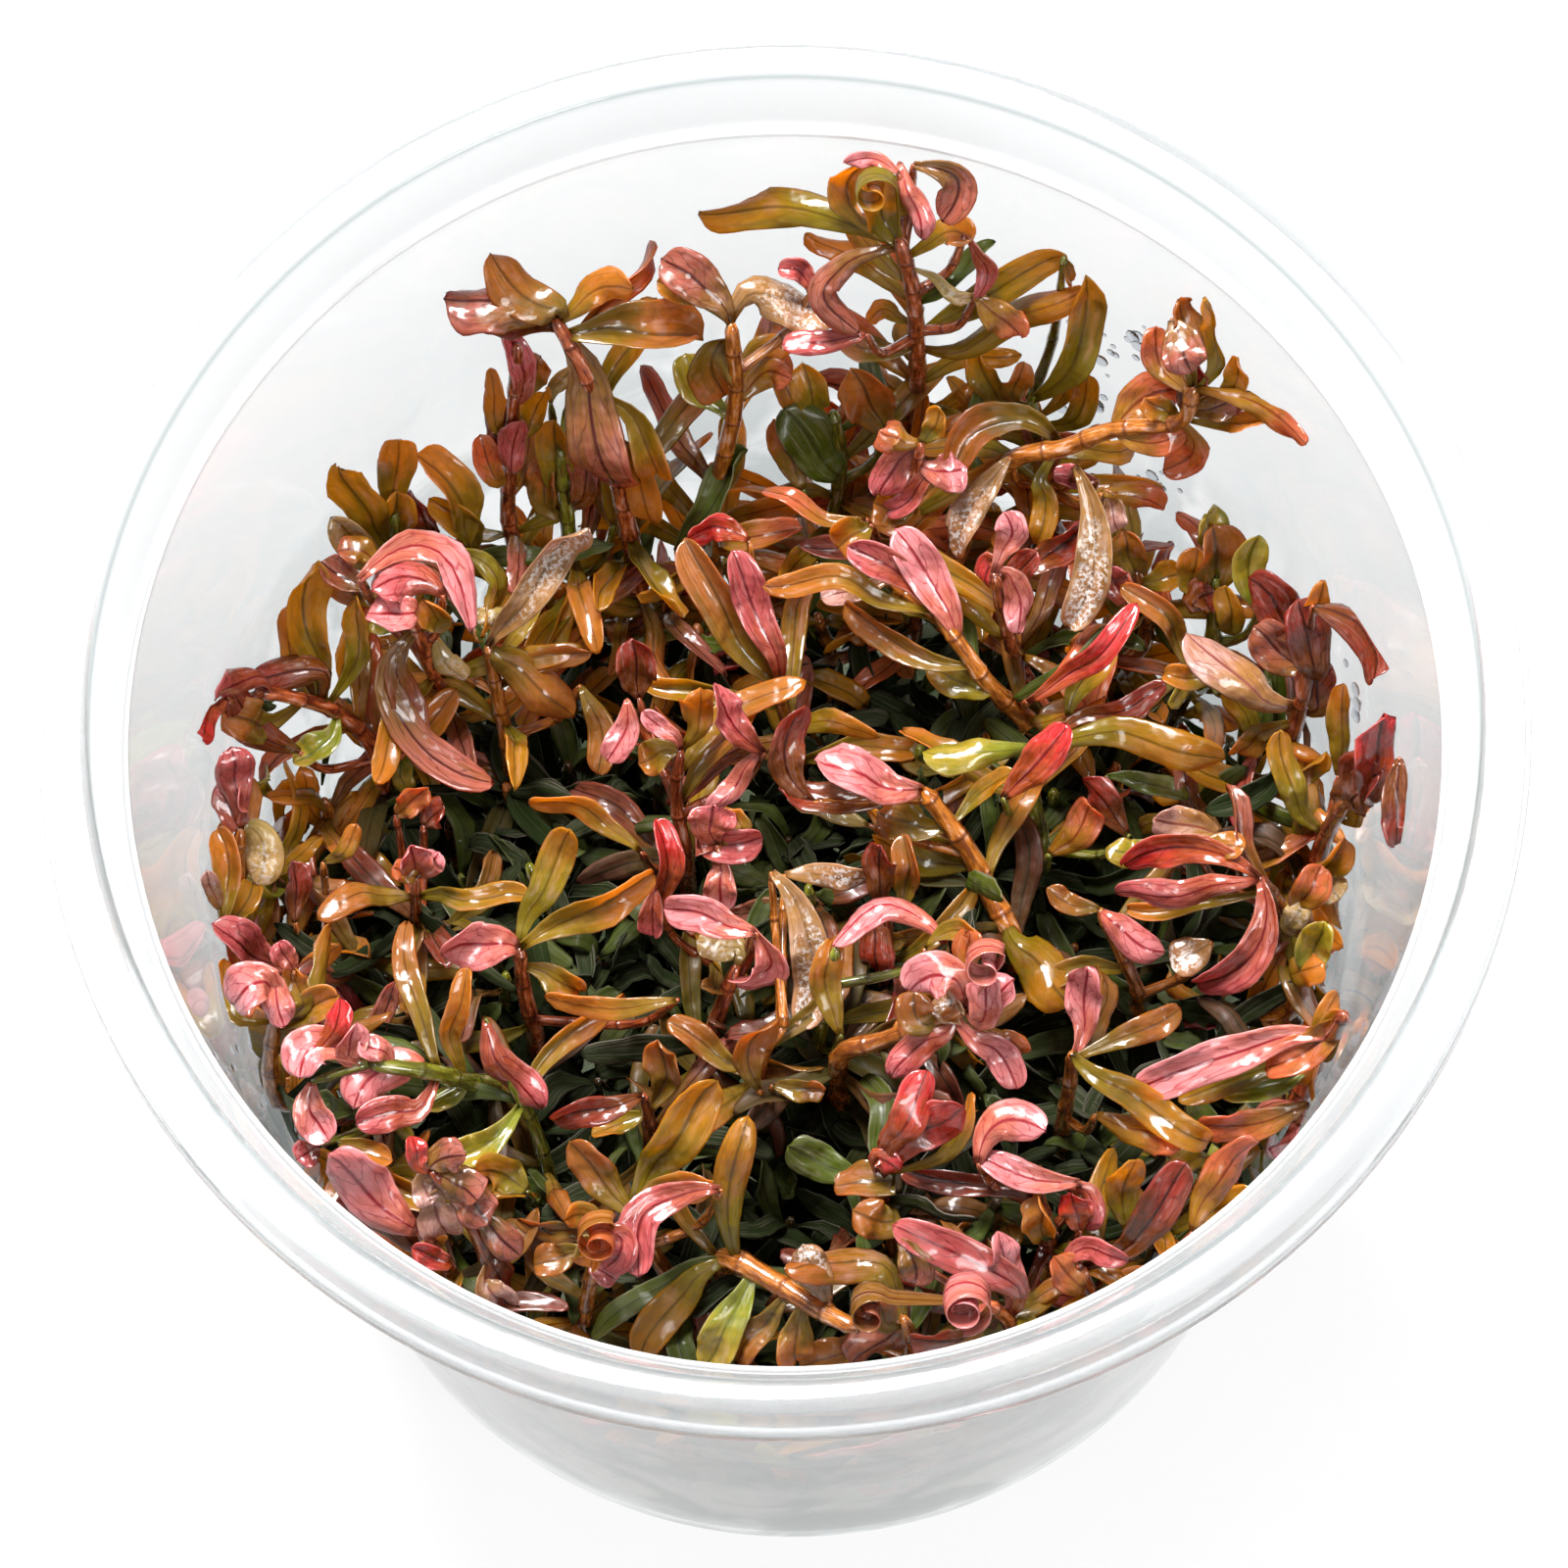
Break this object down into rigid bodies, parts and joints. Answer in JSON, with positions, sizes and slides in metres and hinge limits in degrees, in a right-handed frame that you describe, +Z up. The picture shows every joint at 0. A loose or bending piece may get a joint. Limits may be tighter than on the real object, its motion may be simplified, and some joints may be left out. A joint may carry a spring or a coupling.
{
  "type": "aquarium plant in culture cup",
  "caption": "Open clear plastic culture cup holding a dense clump of red and olive Rotala stem plants on a pad of gel.",
  "frame": {"origin": "the middle of the cup's footprint, on the surface it stands on", "axes": "+Z up out of the cup's mouth, -Y towards the side the picture was taken from, +X to the right in it"},
  "size_m": [0.101, 0.101, 0.08],
  "materials": {
    "cup_plastic": "clear, slightly milky thin-wall plastic",
    "gel": "clear grey-green nutrient gel",
    "plant_undergrowth": "dark green and brown lower leaves and stems",
    "plant_salmon": "wet leaf, partly see-through",
    "plant_olive": "wet leaf, partly see-through",
    "plant_amber": "wet leaf, partly see-through",
    "plant_brown": "wet leaf, partly see-through",
    "plant_rose": "wet leaf, partly see-through",
    "plant_green": "wet leaf, partly see-through",
    "plant_pink": "wet leaf, partly see-through",
    "plant_crimson": "wet leaf, partly see-through",
    "plant_lime": "wet leaf, partly see-through",
    "plant_mauve": "wet leaf, partly see-through",
    "plant_lilac": "wet leaf, partly see-through",
    "plant_red": "wet leaf, partly see-through",
    "plant_silver": "wet leaf, partly see-through"
  },
  "bodies": {
    "root": {"cup": "cup_plastic", "gel": "gel", "undergrowth": "plant_undergrowth", "tall_shoot": "plant_salmon", "back_right_shoot": "plant_olive", "right_shoot": "plant_amber", "drooping_shoot": "plant_brown", "small_pink_shoot": "plant_rose", "centre_pink_shoot": "plant_amber", "folded_pink_shoot": "plant_salmon", "left_head": "plant_salmon", "back_brown_shoot": "plant_brown", "back_green_shoot": "plant_green", "left_rosette": "plant_pink", "silver_leaf_shoot": "plant_brown", "left_upright_shoot": "plant_olive", "red_stack_shoot": "plant_salmon", "back_left_shoot": "plant_olive", "left_edge_shoot": "plant_crimson", "left_wall_shoot": "plant_amber", "orange_head": "plant_amber", "front_left_cluster": "plant_lime", "big_pink_leaf_shoot": "plant_rose", "mauve_stack_shoot": "plant_mauve", "spotted_pink_pair": "plant_olive", "cerise_leaf_shoot": "plant_crimson", "curled_front_rosette": "plant_amber", "pink_banner_shoot": "plant_amber", "front_fan_shoot": "plant_amber", "brown_arch_shoot": "plant_brown", "spiral_shoot": "plant_mauve", "glossy_brown_shoot": "plant_brown", "pink_rosette": "plant_amber", "pink_arch_shoot": "plant_olive", "dark_rose_pair": "plant_crimson", "orange_stem_shoot": "plant_amber", "yellow_leaf_shoot": "plant_olive", "lilac_leaf_shoot": "plant_lilac", "curved_pair_shoot": "plant_red", "pale_pink_leaf_shoot": "plant_brown", "right_head": "plant_rose", "right_back_shoot": "plant_olive", "right_back_dark_shoot": "plant_brown", "right_edge_shoot": "plant_crimson", "right_low_shoot": "plant_amber", "long_pink_leaf_shoot": "plant_salmon", "amber_fold_shoot": "plant_amber", "pink_curl_shoot": "plant_pink", "front_right_shoot": "plant_salmon", "pale_head_shoot": "plant_pink", "rose_cross_shoot": "plant_rose", "curled_pink_leaf_shoot": "plant_pink", "silver_strap_shoot": "plant_silver", "ribbon_shoot": "plant_rose", "long_brown_pair": "plant_brown", "tiny_pink_rosette": "plant_salmon"}
  },
  "joints": []
}
